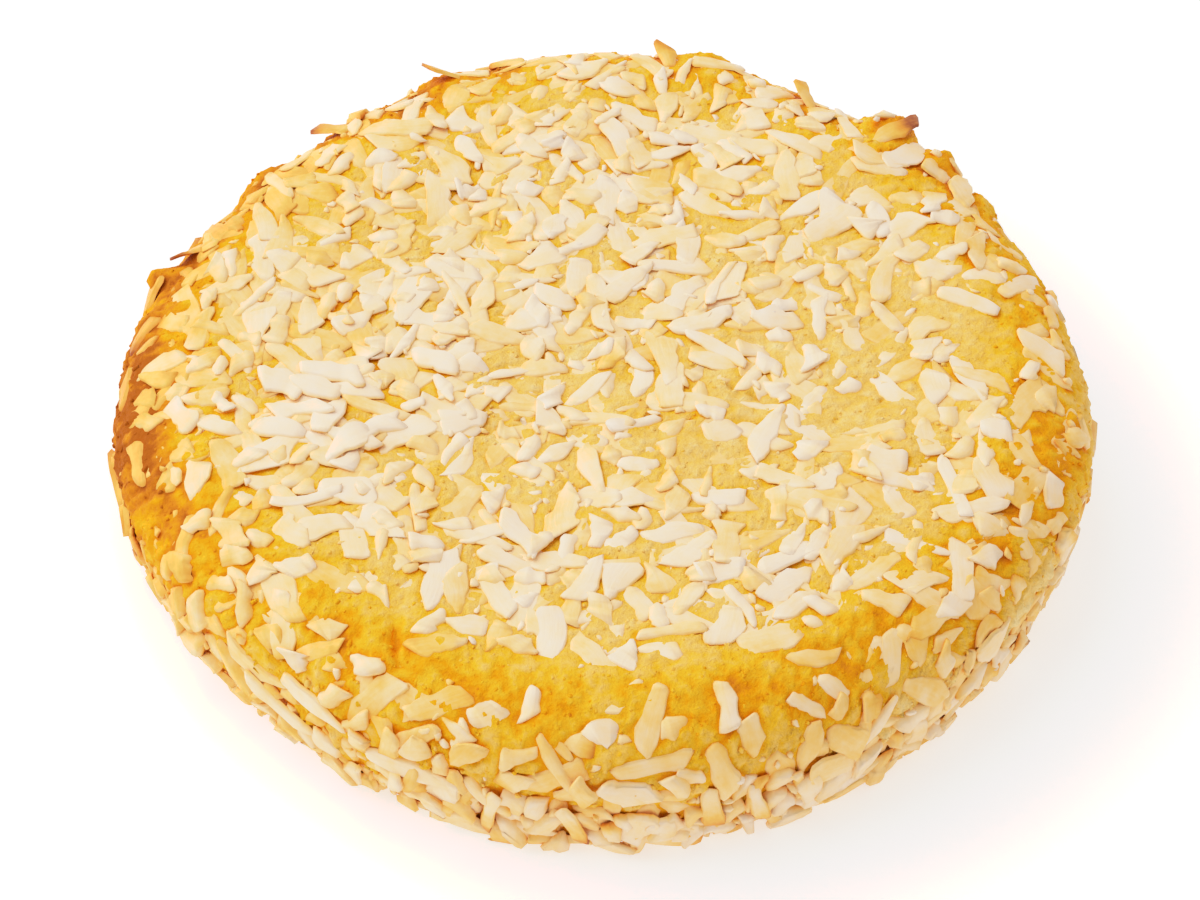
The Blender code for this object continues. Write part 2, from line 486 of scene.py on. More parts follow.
class Flakes:
    """Flat shreds of coconut, as arrays with one value a flake. A flake's wedge says how much
    wider its second end is, stand how steeply it slopes up from the first, wrap how closely it
    follows the crust's curve, flare how far it leans out at the foot, tone how warm it is, warm
    how much its layer has yellowed, and tip how much its second end has toasted."""

    def __init__(self, count, stations):
        self.count = count
        self.stations = stations

    def half_widths(self):
        """Half-widths on the left and right at each station: closing in at the ends by a power
        of the way, growing from one end to the other, and ragged."""
        share = self.stations[None, :]
        first = np.clip(share / self.taper[:, :1], 0, 1) ** self.point[:, :1]
        second = np.clip((1 - share) / self.taper[:, 1:], 0, 1) ** self.point[:, 1:]
        one, two = self.ends[:, :1], self.ends[:, 1:]
        fall = (one + (1 - one) * first) * (two + (1 - two) * second)
        fall = fall * (1 + self.wedge[:, None] * (share - 0.5))
        half = self.width[:, None] / 2 * fall
        return half * (1 + self.ragged[:, :, 0]), half * (1 + self.ragged[:, :, 1])

    def shapes(self):
        """Each flake as rings of points along its length, in its own frame: x along, y across,
        z up. The ends are sheared to a slant, and the middle line is an arc of a circle. The
        ends curl up as the square of the way out, a crease lifts both sides, and a twist tips
        the rings. Returns the points, and how far along and across each was before the bend."""
        share, length = self.stations[None, :], self.length[:, None]
        left, right = self.half_widths()
        bevel = BEVEL[0] + BEVEL[1] * self.thick[:, None]
        bevel = np.minimum(bevel, MOST_BEVEL * np.minimum(left, right))
        half = np.broadcast_to(self.thick[:, None] / 2, left.shape).copy()
        half[:, [0, -1]] *= END_THICKNESS
        across = np.stack([right, right - bevel, bevel - left, -left, (right - left) / 2], axis=-1)
        rim = -2 * RIM_DROP * half
        height = np.stack([rim, half, half, rim, -half], axis=-1)
        along = (share - 0.5) * length
        slant = self.slant[:, :1] * (1 - share) ** 2 + self.slant[:, 1:] * share**2
        x = along[..., None] + slant[..., None] * across
        bend = np.where(np.abs(self.bend) < LEAST_BEND, LEAST_BEND, self.bend)[:, None, None]
        curve = bend / length[..., None]
        angle = x * curve
        bent_x = np.sin(angle) / curve - across * np.sin(angle)
        bent_y = (1 - np.cos(angle)) / curve + across * np.cos(angle)
        way = x / (length[..., None] / 2)
        fold = np.abs(across) * self.crease[:, None, None]
        z = height + self.curl[:, None, None] * way**2 + self.twist[:, None, None] * way * across
        z = z + fold + self.stand[:, None, None] * (way + 1) * length[..., None] / 2
        return np.stack([bent_x, bent_y, z], axis=-1), x, across


# How an end may close: share of the length over which it narrows, width left at the very end,
# and the power of the way that it follows, which rounds it under 1
BLUNT_END, ROUND_END, POINTED_END = (0.09, 0.72, 0.6), (0.24, 0.42, 0.5), (0.48, 0.24, 0.85)
END_CHANCES = 0.56, 0.29, 0.15


def draw_flakes(kind, count, layer):
    """Random flakes of one kind for one layer."""
    stations = CRUMB_STATIONS if kind == "coconut_crumbs" else FULL_STATIONS
    flakes = Flakes(count, stations)
    low, high = np.array(KINDS[kind]).T
    size = low + (high - low) * draw.beta(1.7, 2.4, (count, 2))
    flakes.length, flakes.width = size.T
    flakes.thick = draw.uniform(*layer["thick"], count) * np.minimum(1, 0.5 + flakes.width / 3)
    kinds_of_end = np.array([BLUNT_END, ROUND_END, POINTED_END])
    ends = kinds_of_end[draw.choice(3, (count, 2), p=END_CHANCES)]
    ends *= draw.uniform(0.75, 1.25, ends.shape)
    flakes.taper, flakes.ends, flakes.point = np.moveaxis(ends, -1, 0)
    # The sides wander by a wave and by smoothed jitter
    wave = draw.uniform(0.5, 1.4, (count, 1, 2)) * stations[:, None] + draw.random((count, 1, 2))
    jitter = draw.normal(0, 1, (count, len(stations), 2)) * draw.uniform(0.06, 0.22, (count, 1, 2))
    jitter[:, 1:-1] = (jitter[:, :-2] + 4 * jitter[:, 1:-1] + jitter[:, 2:]) / 6
    flakes.ragged = np.clip(0.14 * np.sin(TAU * wave) + jitter, -0.5, 0.5)
    flakes.wedge = draw.uniform(-0.7, 0.7, count)
    flakes.slant = draw.uniform(-0.9, 0.9, (count, 2))
    flakes.bend = draw.normal(0, 0.35, count)
    flakes.curl = draw.normal(0.02, 0.09, count) * np.minimum(flakes.length / 4, 1)
    flakes.twist = draw.normal(0, 0.07, count)
    flakes.sink = draw.uniform(*layer["sink"], count)
    flakes.crease = np.where(draw.random(count) < 0.12, draw.uniform(0.1, 0.3, count), 0)
    stands = draw.random(count) < layer["stands"]
    flakes.stand = np.where(stands, draw.uniform(0.1, 0.35, count), 0)
    flakes.heading = draw.normal(0, layer["steer"], count) + math.pi * draw.integers(2, size=count)
    flakes.wrap = draw.uniform(0.75, 1.0, count)
    flakes.flare = draw.uniform(0.0, 0.3, count)
    flakes.tone = draw.random(count)
    flakes.warm = np.full(count, layer["warm"])
    flakes.tip = np.where(draw.random(count) < 0.3, draw.uniform(0.1, 0.4, count), 0)
    return flakes


# Groups of flakes that catch the eye, each flake in its own slice of the turns: ranges for the
# turn in degrees, arc, heading in degrees from pointing outwards, length, width, tone from 0
# cream to 1 warm, toasting of the tip and steepness, where not 0; and how the two ends close
GROUPS = (
    # hanging to the ground in front, with toasted tips
    dict(count=4, turn=(-104, -68), arc=(42, 45), heading=(-12, 18), length=(3.5, 7),
         width=(1.0, 1.5), tone=(0.1, 0.6), tip=(0.4, 0.6)),
    # long ones along the side at the front left
    dict(count=4, turn=(-140, -112), arc=(38, 44), heading=(70, 92), length=(5.5, 8),
         width=(1.3, 1.8), tone=(0, 0.3), ends="bp"),
    # strewn on the bare golden shoulder
    dict(count=3, turn=(-100, -60), arc=(32, 36), heading=(-40, 60), length=(2.4, 5),
         width=(1.2, 1.6), tone=(0.2, 0.8)),
    # broad curled ones at the front right
    dict(count=4, turn=(-72, -36), arc=(39, 45), heading=(30, 100), length=(3.5, 5),
         width=(1.8, 2.6), tone=(0.4, 1.0), ends="rb"),
    # tan ones on the brown left rim
    dict(count=4, turn=(164, 194), arc=(35.5, 39), heading=(0, 90), length=(3.0, 4.5),
         width=(1.2, 1.7), tone=(1.1, 1.4), tip=(0, 0.3), ends="br"),
    # toasted ones that stand up round the back
    dict(count=5, turn=(60, 166), arc=(34, 36), heading=(20, 120), length=(1.8, 2.8),
         width=(1.1, 1.8), tone=(1.2, 1.5), tip=(0.2, 0.5), stand=(0.6, 0.9)),
    # a dark-tipped one that sticks out from the corner of the ledge at the back right
    dict(count=1, turn=(46, 50), arc=(35, 36), heading=(-15, 5), length=(4, 5),
         width=(1.2, 1.5), tone=(0.8, 1.0), tip=(0.9, 1.0), stand=(0.7, 0.9)),
    # short broad ones that stand beside it
    dict(count=2, turn=(34, 43), arc=(34.5, 36), heading=(60, 120), length=(2.4, 3.2),
         width=(1.7, 2.2), tone=(0.2, 0.7), tip=(0, 0.3), stand=(0.2, 0.4)),
)
ENDS = {"b": BLUNT_END, "r": ROUND_END, "p": POINTED_END}


def one_group(count, turn, ends="bb", **ranges):
    """The flakes of one group, with what it doesn't say drawn as for the others. Those that
    stand up don't follow the crust's curve."""
    flakes = draw_flakes("coconut_flakes", count, LOOSE)
    share = (draw.permutation(count) + draw.random(count)) / count
    flakes.turn = np.radians(turn[0] + (turn[1] - turn[0]) * share)
    for name in ("arc", "heading", "length", "width", "tone", "tip", "stand"):
        setattr(flakes, name, draw.uniform(*ranges.get(name, (0, 0)), count))
    flakes.heading = np.radians(flakes.heading)
    closing = np.array([[ENDS[end] for end in ends]] * count)
    flakes.taper, flakes.ends, flakes.point = np.moveaxis(closing, -1, 0)
    flakes.wrap = np.where(flakes.stand > 0, 0, flakes.wrap)
    return flakes


# The white heap left of the middle of the top
HEAP_TURN, HEAP_ARC, HEAP_SPREAD, HEAP_FLAKES = math.radians(190), 20, 3.0, 12
HEAP_LENGTH = 4.2  # its shortest flakes


def heaped():
    """Large cream flakes in a heap, most of them lying nearly straight across."""
    flakes = draw_flakes("coconut_flakes", HEAP_FLAKES, LOOSE)
    spots = chart(HEAP_ARC, HEAP_TURN) + draw.normal(0, HEAP_SPREAD, (HEAP_FLAKES, 2))
    flakes.arc, flakes.turn = np.hypot(*spots.T), np.arctan2(spots[:, 1], spots[:, 0])
    flakes.heading = draw.normal(0.2, 0.5, HEAP_FLAKES) - flakes.turn
    flakes.length = np.maximum(flakes.length, HEAP_LENGTH)
    flakes.tone = 0.2 * flakes.tone
    flakes.tip = 0 * flakes.tip
    return flakes


# ---- where the coconut lies

# Where it lies thicker or thinner: turn in degrees, arc, width, and the change in cover
PATCHES = (
    (170, 22, 9, 0.36),
    (95, 20, 10, 0.18),
    (135, 9, 6, 0.18),
    (8, 29, 4.5, -0.54),
    (-48, 13, 4, -0.48),
    (45, 28, 4.5, -0.24),
    (-122, 31, 4, -0.60),
    (-100, 32, 4, -0.66),
    (-75, 33, 4, -0.66),
    (-52, 33, 3, -0.30),
    (-142, 31, 4, -0.30),
    (-5, 20, 4.5, -0.48),
    (114, 34, 1.8, -0.54),
    (184, 38, 3.5, -0.66),
    (168, 38, 3.5, -0.66),
    (200, 38, 3.5, -0.66),
)


def cover(arc, turn):
    """How thickly the coconut lies, from 0 to 1: less on the near shoulder, more down the side,
    less on its upper part from the front right round the back to the left, and patchy."""
    near_shoulder = np.exp(-(((arc - 32) / 3.0) ** 2)) * near(turn, -85, 65)
    chance = 0.66 - 0.36 * near_shoulder + 0.3 * smooth_step(arc, 39, 44)
    upper_side = smooth_step(arc, 33, 37) * (1 - smooth_step(arc, 40, 45))
    chance -= 0.3 * upper_side * (turn > math.radians(-35))
    return np.clip(chance + bells(chart(arc, turn), PATCHES), 0, 1)


def scatter_evenly(count, arcs):
    """Random places between two arcs, spread evenly by area."""
    arc = np.linspace(*arcs, 400)
    radius = np.interp(arc, SECTION_ARC, SECTION[:, 0])
    share = np.cumsum(radius) / radius.sum()
    return np.interp(draw.random(count), share, arc), draw.uniform(-math.pi, math.pi, count)


TRIES = 9  # places that each flake chooses from
LEAST_COVER = 0.001  # the cover counted where none is wanted
ROOM = 1.2  # how crowded the places of the groups' flakes are for all others


def footprints(flakes, arc, turn):
    """Cells of the map under flakes laid at the given places, several places a flake: under
    nine tenths of its length and seven tenths of its width."""
    heading = turn + flakes.heading[:, None]
    ahead = np.stack([np.cos(heading), np.sin(heading)], axis=-1)[:, :, None, None]
    aside = np.stack([-np.sin(heading), np.cos(heading)], axis=-1)[:, :, None, None]
    length, width = (part[:, None, None, None, None] for part in (flakes.length, flakes.width))
    steps = np.linspace(-0.45, 0.45, 9)[:, None, None]
    sides = np.linspace(-0.35, 0.35, 4)[:, None]
    spots = chart(arc, turn)[:, :, None, None] + steps * length * ahead + sides * width * aside
    return map_cell(spots).reshape(*arc.shape, -1)


def spread(flakes, arcs, crowd):
    """Gives flakes their places, one by one: of several random places each takes the one with
    the least coconut under it for the cover wanted there, give or take some luck, and then its
    own area is added to the crowd map."""
    shape = (flakes.count, TRIES)
    arc, turn = (part.reshape(shape) for part in scatter_evenly(flakes.count * TRIES, arcs))
    wanted = cover(arc.ravel(), turn.ravel()).reshape(shape) + LEAST_COVER
    luck = draw.uniform(0.1, 0.6, shape)
    cells = footprints(flakes, arc, turn)
    best = np.empty(flakes.count, int)
    for i in range(flakes.count):
        worth = (crowd[cells[i]].mean(axis=1) + luck[i]) / wanted[i]
        best[i] = np.argmin(worth)
        crowd[cells[i, best[i]]] += 1
    row = np.arange(flakes.count)
    flakes.arc, flakes.turn = arc[row, best], turn[row, best]


# ---- dropping the flakes

SUPPORT = 0.8  # how far up the order of its footprint's supports a flake comes to rest
PUSH = 1.5  # how much harder than the rest the ground pushes where it is above a flake
MOST_TILT = 0.22  # steepest slope of the plane that a flake rests on
MOST_HEAP = 0.8  # the height over the dough that the middle of a flake on a deep heap comes near
FLOOR_GAP = 0.04  # how far all coconut on the crust stays clear of the ground
STAMP_STEPS, STAMP_SIDES = 24, 9  # points along and across a flake that mark the height map


def empty_height_map():
    """The dough's slow rise and fall on the chart's cells."""
    line = np.arange(-MAP_HALF, MAP_HALF + 1) * HEIGHT_CELL
    spots = np.stack(np.meshgrid(line, line, indexing="ij"), axis=-1).reshape(-1, 2)
    arc = np.clip(np.linalg.norm(spots, axis=1), 0, ARC_END)
    turn = np.arctan2(spots[:, 1], spots[:, 0])
    smooth = on_crust(arc, turn, 0)
    return swells(smooth, spots) * let_out(smooth)


def carry(local, arc, turn, heading):
    """Points of flat flakes carried to their places: laid on the plane that touches the
    crust there, then found again as arc, turn and rise."""
    outwards, around, _ = crust_frame(arc, turn)
    middle = on_crust(arc, turn, 0)
    cos, sin = np.cos(heading)[:, None], np.sin(heading)[:, None]
    ahead = outwards * cos + around * sin
    aside = around * cos - outwards * sin
    shape = local.shape
    flat = local.reshape(shape[0], -1, shape[-1])
    places = middle[:, None] + flat[..., :1] * ahead[:, None] + flat[..., 1:2] * aside[:, None]
    found = nearest_on_crust(places.reshape(-1, 3))
    return [part.reshape(shape[:-1]) for part in found]


def supports(values, stations):
    """Values at what holds a flake up: each ring's two rims and the point half-way between
    them, without the end rings except on crumbs."""
    inner = slice(1, -1) if len(stations) > len(CRUMB_STATIONS) else slice(None)
    rims = values[:, inner][:, :, RIMS]
    return np.concatenate([rims, rims.mean(axis=2, keepdims=True)], axis=2)


def stamps(stations, values):
    """Values all over each flake, blended between the rings and from rim to rim, at points
    close enough to leave out no cell of the map."""
    ring = np.interp(np.linspace(0, 1, STAMP_STEPS), stations, np.arange(len(stations)))
    low = np.minimum(ring.astype(int), len(stations) - 2)
    part = (ring - low)[None, :, None, None]
    side_share = np.linspace(0, 1, STAMP_SIDES)[None, None, :, None]
    edges = values[:, :, RIMS]
    mid = edges[:, low] * (1 - part) + edges[:, low + 1] * part
    stamp = mid[:, :, :1] * (1 - side_share) + mid[:, :, 1:] * side_share
    return stamp.reshape(len(values), -1, values.shape[-1])


def resting_plane(ground, sides, fit, sink):
    """The plane that a flake rests on, as its height and two slopes: fitted to the ground under
    its supports, and again with what stands above it pushed up further, then raised until all
    but the highest supports are clear, less what the flake sinks in."""
    plane = fit @ ground
    over = np.maximum(ground - sides @ plane, 0)
    plane = fit @ (ground + PUSH * over)
    plane[1:] = np.clip(plane[1:], -MOST_TILT, MOST_TILT)
    gap = ground - sides @ plane
    plane[0] += np.sort(gap)[int(SUPPORT * len(gap))] - sink
    return plane


def drop(flakes, height_map, bare_map):
    """Drops flakes one by one on the height map. Each takes its resting plane, is held down
    where the heap under it is deep, and becomes ground itself. Returns the finished points, how
    far along and across its flake each is, and its height over the dough."""
    count, stations = flakes.count, flakes.stations
    local, along, across = flakes.shapes()
    arc, turn, rise = carry(local, flakes.arc, flakes.turn, flakes.heading)
    rise = rise * (1 - flakes.wrap[:, None, None])
    outward = local[..., 0] * np.cos(flakes.heading)[:, None, None]
    outward -= local[..., 1] * np.sin(flakes.heading)[:, None, None]
    outward -= outward.min(axis=(1, 2), keepdims=True)
    flare = flakes.flare * smooth_step(flakes.arc, 39, 45)
    lift = rise + local[..., 2] + flare[:, None, None] * outward
    spots = chart(arc, turn)
    foot = supports(local[..., :2], stations).reshape(count, -1, 2)
    foot_lift = supports(lift, stations).reshape(count, -1)
    cells = map_cell(supports(spots, stations)).reshape(count, -1)
    sides = np.concatenate([np.ones_like(foot[..., :1]), foot], axis=-1)
    fits = np.linalg.pinv(sides)
    stamp = stamps(stations, np.concatenate([spots, local[..., :2], lift[..., None]], axis=-1))
    stamp_cells = map_cell(stamp[..., :2])
    planes = np.zeros((count, 3))
    for i in range(count):
        # The lifts are of the rims: the underside is below them, and the upper face above
        ground = height_map[cells[i]] - foot_lift[i] + (0.5 - RIM_DROP) * flakes.thick[i]
        plane = resting_plane(ground, sides[i], fits[i], flakes.sink[i])
        rest = max(np.median(sides[i] @ plane - bare_map[cells[i]]), 0)
        plane[0] += MOST_HEAP * (1 - math.exp(-rest / MOST_HEAP)) - rest
        planes[i] = plane
        top = plane[0] + stamp[i, :, 2:4] @ plane[1:] + stamp[i, :, 4]
        top = top + (0.5 + RIM_DROP) * flakes.thick[i]
        height_map[stamp_cells[i]] = np.maximum(height_map[stamp_cells[i]], top)
    leaning = planes[:, None, None, 0] + np.einsum("nrsk,nk->nrs", local[..., :2], planes[:, 1:])
    places = on_crust(arc, turn, leaning + lift)
    lowest = places[..., 2].min(axis=(1, 2))
    places[..., 2] += np.maximum(FLOOR_GAP - lowest, 0)[:, None, None]
    high = leaning + lift - bare_map[map_cell(spots)]
    return places, along, across, high


# ---- the pieces of coconut

RIM_GLOW = 0.26 * np.array([1, 0, 0, 1, 1])  # painted glow: how much warmer each point of a ring is coloured, on the rims and underside, for light shining warm through thin coconut
MOST_UNTIPPED = 0.52  # the level that toasting, painted glow and tone come to at most; tips go on from it
FIBRE_SHIFT = 900  # how far apart on the fibre pattern two flakes lie for a tone 1 apart
FACE_WEIGHT = 60  # how much the large faces outweigh the small ones in the shading


def clouds(places):
    """Soft noise over flakes, for the points of every ring."""
    return noise(places.reshape(-1, 3), 2.2).reshape(places.shape[:-1])


def toasting_and_glow(flakes, places, along, high):
    """How far each point has toasted, from 0 cream to 1 brown: more towards the cookie's rim and
    left, and most at some tips. A flake's rims and underside, and the parts that lie low on the
    dough, are painted warmer: a painted glow for the warm light that shines through thin coconut and
    bounces in its shade."""
    arc = flakes.arc
    rim = smooth_step(arc, 27, 39)
    left = near(flakes.turn, 165, 50)
    base = 0.085 + flakes.warm + 0.27 * flakes.tone**1.5
    base = base + rim * (0.08 + 0.12 * left + 0.12 * flakes.tone)
    base = base + 0.05 * smooth_step(arc, 37, 42)
    base = base + left * (0.11 * smooth_step(arc, 8, 24) + 0.30 * smooth_step(arc, 33, 37))
    way = along / flakes.length[:, None, None] + 0.5
    tips = np.clip(way, 0, 1) ** 3 * flakes.tip[:, None, None]
    # Painted glow: rims, underside and the parts lying low on the dough are coloured warmer, for
    # light shining through thin coconut and bouncing warm under it.
    painted_glow = RIM_GLOW + 0.12 * (1 - smooth_step(high, 0.1, 0.5))
    most = (MOST_UNTIPPED + 0.2 * rim * left)[:, None, None]
    plain = np.minimum(base[:, None, None] + 0.09 * clouds(places) + painted_glow, most)
    return np.clip(plain + tips, 0, 1)


def flake_piece(name, places, toast_and_glow, uv):
    """One piece from the rings of many flakes: quads between neighbouring rings, and a face to
    close each end."""
    count, rings = places.shape[:2]
    index = np.arange(rings * AROUND).reshape(rings, AROUND)
    after = np.roll(index, -1, axis=1)
    sides = np.stack([index[:-1], after[:-1], after[1:], index[1:]], axis=-1).reshape(-1, 4)
    ends = np.array([index[0, ::-1], index[-1]])
    faces = [copied_faces(group, count, rings * AROUND) for group in (sides, ends)]
    toast_and_glow_layers = {"toast_and_glow": toast_and_glow.ravel()}
    return make_piece(name, places.reshape(-1, 3), faces, toast_and_glow_layers, uv.reshape(-1, 2))


def flatten_shading(piece):
    """Marks the two rims of every flake sharp, so that its lit side isn't shaded by its
    underside, and lets the large faces set the shading."""
    mesh = piece.data
    ends = np.empty(2 * len(mesh.edges), np.int32)
    mesh.edges.foreach_get("vertices", ends)
    first, last = ends.reshape(-1, 2).T % AROUND
    layer = mesh.attributes.new("sharp_edge", "BOOLEAN", "EDGE")
    layer.data.foreach_set("value", (first == last) & np.isin(first, RIMS))
    weigh = piece.modifiers.new("flat_faces", "WEIGHTED_NORMAL")
    weigh.weight = FACE_WEIGHT
    weigh.keep_sharp = True


def make_coconut():
    """Every kind of coconut, dropped in layers on one height map, with the heap and the groups
    on top. Returns the pieces, and how deep the coconut is on each cell of the map."""
    bare_map = empty_height_map()
    height_map = bare_map.copy()
    batches = {kind: [] for kind in KINDS}

    def settle(kind, flakes):
        places, along, across, high = drop(flakes, height_map, bare_map)
        toast_and_glow = toasting_and_glow(flakes, places, along, high)
        shift = FIBRE_SHIFT * flakes.tone[:, None, None, None]
        batches[kind].append((places, toast_and_glow, shift + np.stack([along, across], axis=-1)))

    groups = [one_group(**group) for group in GROUPS]
    taken = np.zeros(len(height_map))
    for flakes in groups:
        taken[footprints(flakes, flakes.arc[:, None], flakes.turn[:, None])] = ROOM
    crowd = taken
    for layer in (*LAYERS, FOOT):
        crowd = (crowd + taken) / 2  # a layer minds those under it half as much as itself
        for kind, count in zip(KINDS, layer["counts"]):
            flakes = draw_flakes(kind, count, layer)
            spread(flakes, layer["arcs"], crowd)
            flakes.tip *= 0.25 + 0.75 * smooth_step(flakes.arc, 24, 40)
            settle(kind, flakes)
    settle("coconut_flakes", heaped())
    for flakes in groups:
        settle("coconut_flakes", flakes)
    pieces = []
    for kind, batch in batches.items():
        pieces.append(flake_piece(kind, *(np.concatenate(part) for part in zip(*batch))))
        flatten_shading(pieces[-1])
    return pieces, height_map - bare_map


PRESSED = 190  # flakes pressed into the base


def make_pressed():
    """Flakes pressed into the flat base, spread evenly by area: their undersides are flat and
    stand just proud of the dough, and their upper parts are in it."""
    flakes = draw_flakes("coconut_flakes", PRESSED, LOOSE)
    flakes.heading = draw.uniform(0, TAU, PRESSED)
    local, along, across = flakes.shapes()
    turn = draw.uniform(-math.pi, math.pi, PRESSED)
    radius = BASE_RADIUS * outline_share(turn) * np.sqrt(draw.random(PRESSED))
    cos, sin = (part[:, None, None] for part in (np.cos(flakes.heading), np.sin(flakes.heading)))
    x = local[..., 0] * cos - local[..., 1] * sin + (radius * np.cos(turn))[:, None, None]
    y = local[..., 0] * sin + local[..., 1] * cos + (radius * np.sin(turn))[:, None, None]
    z = np.maximum(local[..., 2] + flakes.thick[:, None, None] / 2, 0)
    places = np.stack([x, y, z + 0.01 * draw.random(PRESSED)[:, None, None]], axis=-1)
    toast_and_glow = 0.28 + 0.4 * flakes.tone[:, None, None] + 0.1 * clouds(places)
    uv = np.stack([along, across], axis=-1)
    return flake_piece("pressed_flakes", places, np.clip(toast_and_glow, 0, 1), uv)


# ---- loose grains of dough

GRAINS = 8000  # grains drawn, before those near coconut are left out
GRAIN_ARCS = 0, 49
BARE_UNDER = 0.05  # depth of coconut under which a place is bare
GRAIN_SIDES = 6  # points on each of a grain's two rings
GRAIN_RINGS = np.radians([50, -5])  # how far up from its equator the two rings are


def grain_ball():
    """A ball of radius 1, of two rings and two poles: its points, and its triangles and quads."""
    level = np.repeat(GRAIN_RINGS, GRAIN_SIDES)
    side = np.tile(np.arange(GRAIN_SIDES) / GRAIN_SIDES * TAU, 2)
    across = np.cos(level)
    rings = np.column_stack([across * np.cos(side), across * np.sin(side), np.sin(level)])
    points = np.vstack([[0, 0, 1], rings, [0, 0, -1]])
    upper = np.arange(GRAIN_SIDES) + 1
    lower = upper + GRAIN_SIDES
    after_upper, after_lower = np.roll(upper, -1), np.roll(lower, -1)
    top, foot = np.zeros_like(upper), np.full_like(upper, len(points) - 1)
    cap = np.column_stack([top, upper, after_upper])
    cup = np.column_stack([foot, after_lower, lower])
    band = np.column_stack([upper, lower, after_lower, after_upper])
    return points, [np.vstack([cap, cup]), band]


def make_grains(depth):
    """Loose grains of dough, pressed into the bare crust: balls, a little flat, drawn out one
    way and dented at random."""
    arc, turn = scatter_evenly(GRAINS, GRAIN_ARCS)
    spots = chart(arc, turn)
    clear = depth[map_cell(spots)] < BARE_UNDER
    arc, turn, spots = arc[clear], turn[clear], spots[clear]
    count = len(arc)
    smooth = on_crust(arc, turn, 0)
    free = let_out(smooth)
    rise = swells(smooth, spots) * free + crumb(smooth, spots) * free
    # Radii of 0.1 to 0.34, most of them small, and the middles lie just under the surface
    size = 0.10 + 0.24 * draw.beta(1.2, 2.8, count)
    ball, ball_faces = grain_ball()
    spin = draw.uniform(0, TAU, count)[:, None]
    cos, sin = np.cos(spin), np.sin(spin)
    stretch = draw.uniform(0.9, 1.5, count)[:, None]
    ahead = (ball[:, 0] * cos - ball[:, 1] * sin) * stretch
    aside = ball[:, 0] * sin + ball[:, 1] * cos
    up = np.broadcast_to(0.8 * ball[:, 2], ahead.shape)
    dents = 1 + draw.uniform(-0.35, 0.35, ahead.shape)
    local = np.stack([ahead * dents, aside * dents, up], axis=-1) * size[:, None, None]
    axes = np.stack(crust_frame(arc, turn), axis=1)
    middle = on_crust(arc, turn, rise - 0.55 * size)
    places = middle[:, None] + np.einsum("npk,nkx->npx", local, axes)
    bake_and_shade = browning(arc, turn, smooth) - 0.12 + 0.22 * draw.random(count)
    # Painted shade: each grain's colour deepens towards its lower part, where it sits in the dough.
    bake_and_shade = bake_and_shade[:, None] + 0.10 * (1 - ball[:, 2])[None]
    faces = [copied_faces(group, count, len(ball)) for group in ball_faces]
    return make_piece("dough_grains", places.reshape(-1, 3), faces, {"bake_and_shade": bake_and_shade.ravel()})


# ---- materials

# What colours the dough has as it bakes, and coconut as it toasts: level from 0 to 1, and red,
# green and blue from 0 to 255 on a screen
DOUGH_COLOURS = (
    (0.0, (255, 217, 150)),
    (0.2, (255, 198, 106)),
    (0.42, (255, 185, 42)),
    (0.62, (253, 158, 8)),
    (0.82, (226, 132, 28)),
    (1.0, (180, 96, 24)),
)
COCONUT_COLOURS = (
    (0.0, (244, 222, 200)),
    (0.2, (250, 219, 184)),
    (0.4, (254, 208, 145)),
    (0.6, (252, 186, 84)),
    (0.8, (236, 146, 44)),
    (1.0, (160, 80, 30)),
)


def link(tree, start, end):
    tree.links.new(start, end)


def set_inputs(node, values):
    """Sets a node's sockets by name."""
    for name, value in values.items():
        node.inputs[name].default_value = value


def srgb(red, green, blue):
    """Linear colour, near enough, of one given as 0 to 255 on a screen."""
    return tuple((value / 255) ** 2.2 for value in (red, green, blue))


def mesh_value(tree, name):
    """A mesh's own value at each point."""
    node = tree.nodes.new("ShaderNodeAttribute")
    node.attribute_name = name
    return node.outputs["Fac"]


def pattern(tree, source, scale, detail, rough):
    """Noise from 0 to 1 on the given coordinates."""
    node = tree.nodes.new("ShaderNodeTexNoise")
    set_inputs(node, {"Scale": scale, "Detail": detail, "Roughness": rough})
    link(tree, source, node.inputs["Vector"])
    return node.outputs["Fac"]


def shifted(tree, marks, amount, base):
    """Base plus a pattern that runs from 0 to 1, centred and scaled to the amount."""
    swing = tree.nodes.new("ShaderNodeMath")
    swing.operation = "MULTIPLY_ADD"
    link(tree, marks, swing.inputs[0])
    swing.inputs[1].default_value = amount
    swing.inputs[2].default_value = -amount / 2
    total = tree.nodes.new("ShaderNodeMath")
    total.operation = "ADD"
    link(tree, swing.outputs[0], total.inputs[0])
    link(tree, base, total.inputs[1])
    return total.outputs[0]


def colour_by(tree, shader, level, colours):
    """Colours the surface by its level, blended between the given colours."""
    ramp = tree.nodes.new("ShaderNodeValToRGB")
    elements = ramp.color_ramp.elements
    while len(elements) < len(colours):
        elements.new(1.0)
    for element, (place, colour) in zip(elements, colours):
        element.position = place
        element.color = (*srgb(*colour), 1.0)
    link(tree, level, ramp.inputs["Fac"])
    link(tree, ramp.outputs["Color"], shader.inputs["Base Color"])


def roughen(tree, shader, marks, distance, strength):
    """Raises the surface by a pattern, with the distance in metres."""
    bump = tree.nodes.new("ShaderNodeBump")
    set_inputs(bump, {"Distance": distance, "Strength": strength})
    link(tree, marks, bump.inputs["Height"])
    link(tree, bump.outputs["Normal"], shader.inputs["Normal"])


def new_material(name):
    material = bpy.data.materials.new(name)
    material.use_nodes = True
    tree = material.node_tree
    return material, tree, tree.nodes["Principled BSDF"]


